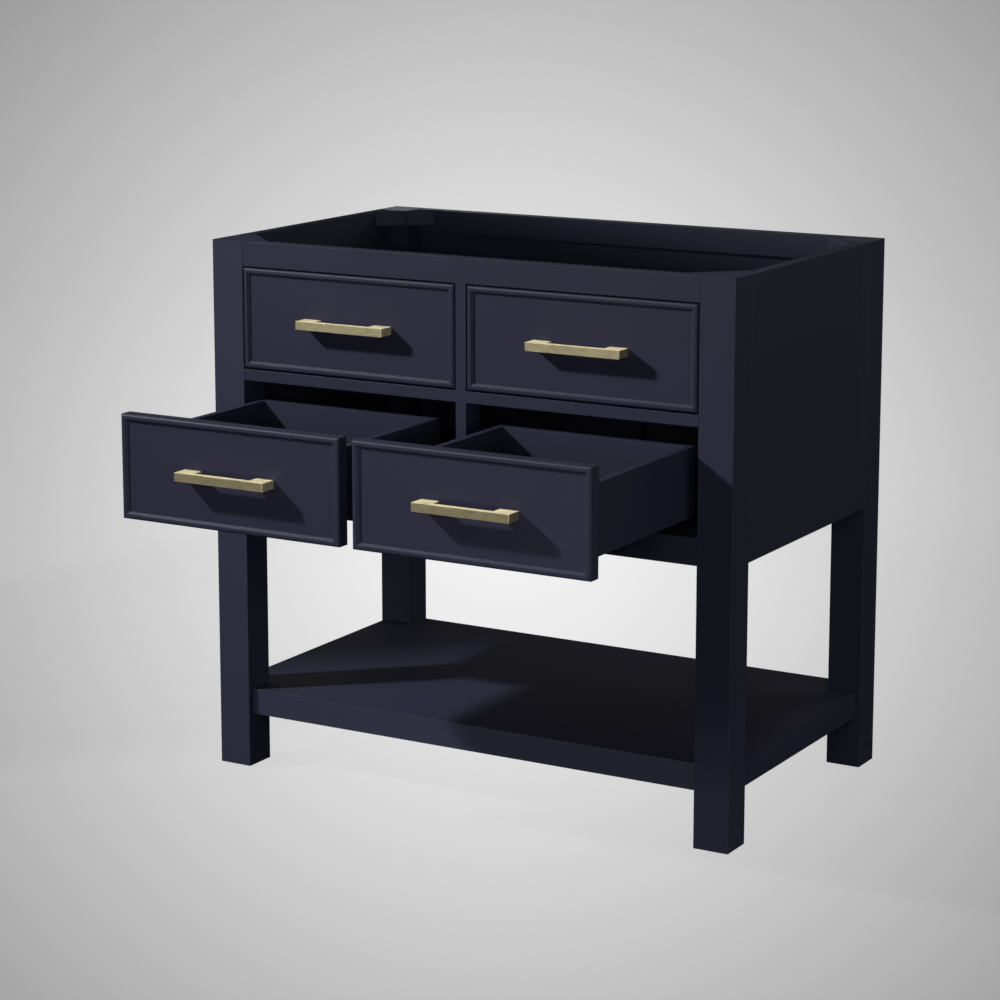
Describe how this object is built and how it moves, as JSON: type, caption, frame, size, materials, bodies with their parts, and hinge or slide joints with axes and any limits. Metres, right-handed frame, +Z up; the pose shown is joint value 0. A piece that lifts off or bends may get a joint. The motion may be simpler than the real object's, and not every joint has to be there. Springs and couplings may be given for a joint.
{
  "type": "bathroom vanity cabinet",
  "caption": "Freestanding open-top bathroom vanity cabinet with square legs, inset bead-edged drawers on telescopic slides, bar pulls and an open lower shelf.",
  "frame": {"origin": "on the floor, under the middle of the case's width and depth", "axes": "+X to the right seen from the front, -Y toward the front, where the drawers open, +Z up"},
  "size_m": [0.914, 0.893, 0.86],
  "materials": {
    "navy_paint": "satin dark navy lacquer over wood",
    "pull_brass": "brushed pale brass",
    "slide_steel": "zinc-plated",
    "glide_nylon": "matte"
  },
  "bodies": {
    "cabinet": {"leg_front_left": "navy_paint", "leg_front_right": "navy_paint", "leg_rear_left": "navy_paint", "leg_rear_right": "navy_paint", "top_rail_front": "navy_paint", "mid_rail_front": "navy_paint", "bottom_rail_front": "navy_paint", "stile_upper": "navy_paint", "stile_lower": "navy_paint", "side_panel_left": "navy_paint", "side_panel_right": "navy_paint", "top_rail_rear": "navy_paint", "mid_rail_rear": "navy_paint", "bottom_rail_rear": "navy_paint", "rear_post": "navy_paint", "back_panel": "navy_paint", "corner_blocks": "navy_paint", "slide_runners": "navy_paint", "shelf_panel": "navy_paint", "shelf_rail_front": "navy_paint", "shelf_rail_rear": "navy_paint", "shelf_rails_side": "navy_paint", "glides": "glide_nylon", "slide_fixed": "slide_steel"},
    "slide_rails_ul": {"slide_mid_ul": "slide_steel"},
    "slide_rails_ur": {"slide_mid_ur": "slide_steel"},
    "slide_rails_ll": {"slide_mid_ll": "slide_steel"},
    "slide_rails_lr": {"slide_mid_lr": "slide_steel"},
    "drawer_ul": {"front_ul": "navy_paint", "side_l_ul": "navy_paint", "side_r_ul": "navy_paint", "ends_ul": "navy_paint", "bottom_ul": "navy_paint", "pull_ul": "pull_brass", "pull_screws_ul": "slide_steel", "slide_top_ul": "slide_steel"},
    "drawer_ur": {"front_ur": "navy_paint", "side_l_ur": "navy_paint", "side_r_ur": "navy_paint", "ends_ur": "navy_paint", "bottom_ur": "navy_paint", "pull_ur": "pull_brass", "pull_screws_ur": "slide_steel", "slide_top_ur": "slide_steel"},
    "drawer_ll": {"front_ll": "navy_paint", "side_l_ll": "navy_paint", "side_r_ll": "navy_paint", "ends_ll": "navy_paint", "bottom_ll": "navy_paint", "pull_ll": "pull_brass", "pull_screws_ll": "slide_steel", "slide_top_ll": "slide_steel"},
    "drawer_lr": {"front_lr": "navy_paint", "side_l_lr": "navy_paint", "side_r_lr": "navy_paint", "ends_lr": "navy_paint", "bottom_lr": "navy_paint", "pull_lr": "pull_brass", "pull_screws_lr": "slide_steel", "slide_top_lr": "slide_steel"}
  },
  "joints": [
    {"name": "drawer_ul_slide", "type": "slide", "parent": "cabinet", "child": "drawer_ul", "axis": [0, -1, 0], "range_m": [0, 0.325]},
    {"name": "drawer_ur_slide", "type": "slide", "parent": "cabinet", "child": "drawer_ur", "axis": [0, -1, 0], "range_m": [0, 0.325]},
    {"name": "drawer_ll_slide", "type": "slide", "parent": "cabinet", "child": "drawer_ll", "axis": [0, -1, 0], "range_m": [-0.32, 0.005]},
    {"name": "drawer_lr_slide", "type": "slide", "parent": "cabinet", "child": "drawer_lr", "axis": [0, -1, 0], "range_m": [-0.32, 0.005]},
    {"name": "rails_ul_slide", "type": "slide", "parent": "cabinet", "child": "slide_rails_ul", "axis": [0, -1, 0], "range_m": [0, 0.1625]},
    {"name": "rails_ur_slide", "type": "slide", "parent": "cabinet", "child": "slide_rails_ur", "axis": [0, -1, 0], "range_m": [0, 0.1625]},
    {"name": "rails_ll_slide", "type": "slide", "parent": "cabinet", "child": "slide_rails_ll", "axis": [0, -1, 0], "range_m": [-0.16, 0.0025]},
    {"name": "rails_lr_slide", "type": "slide", "parent": "cabinet", "child": "slide_rails_lr", "axis": [0, -1, 0], "range_m": [-0.16, 0.0025]}
  ],
  "couplings": [
    {"joint": "rails_ul_slide", "follows": "drawer_ul_slide", "ratio": 0.5},
    {"joint": "rails_ur_slide", "follows": "drawer_ur_slide", "ratio": 0.5},
    {"joint": "rails_ll_slide", "follows": "drawer_ll_slide", "ratio": 0.5},
    {"joint": "rails_lr_slide", "follows": "drawer_lr_slide", "ratio": 0.5}
  ]
}
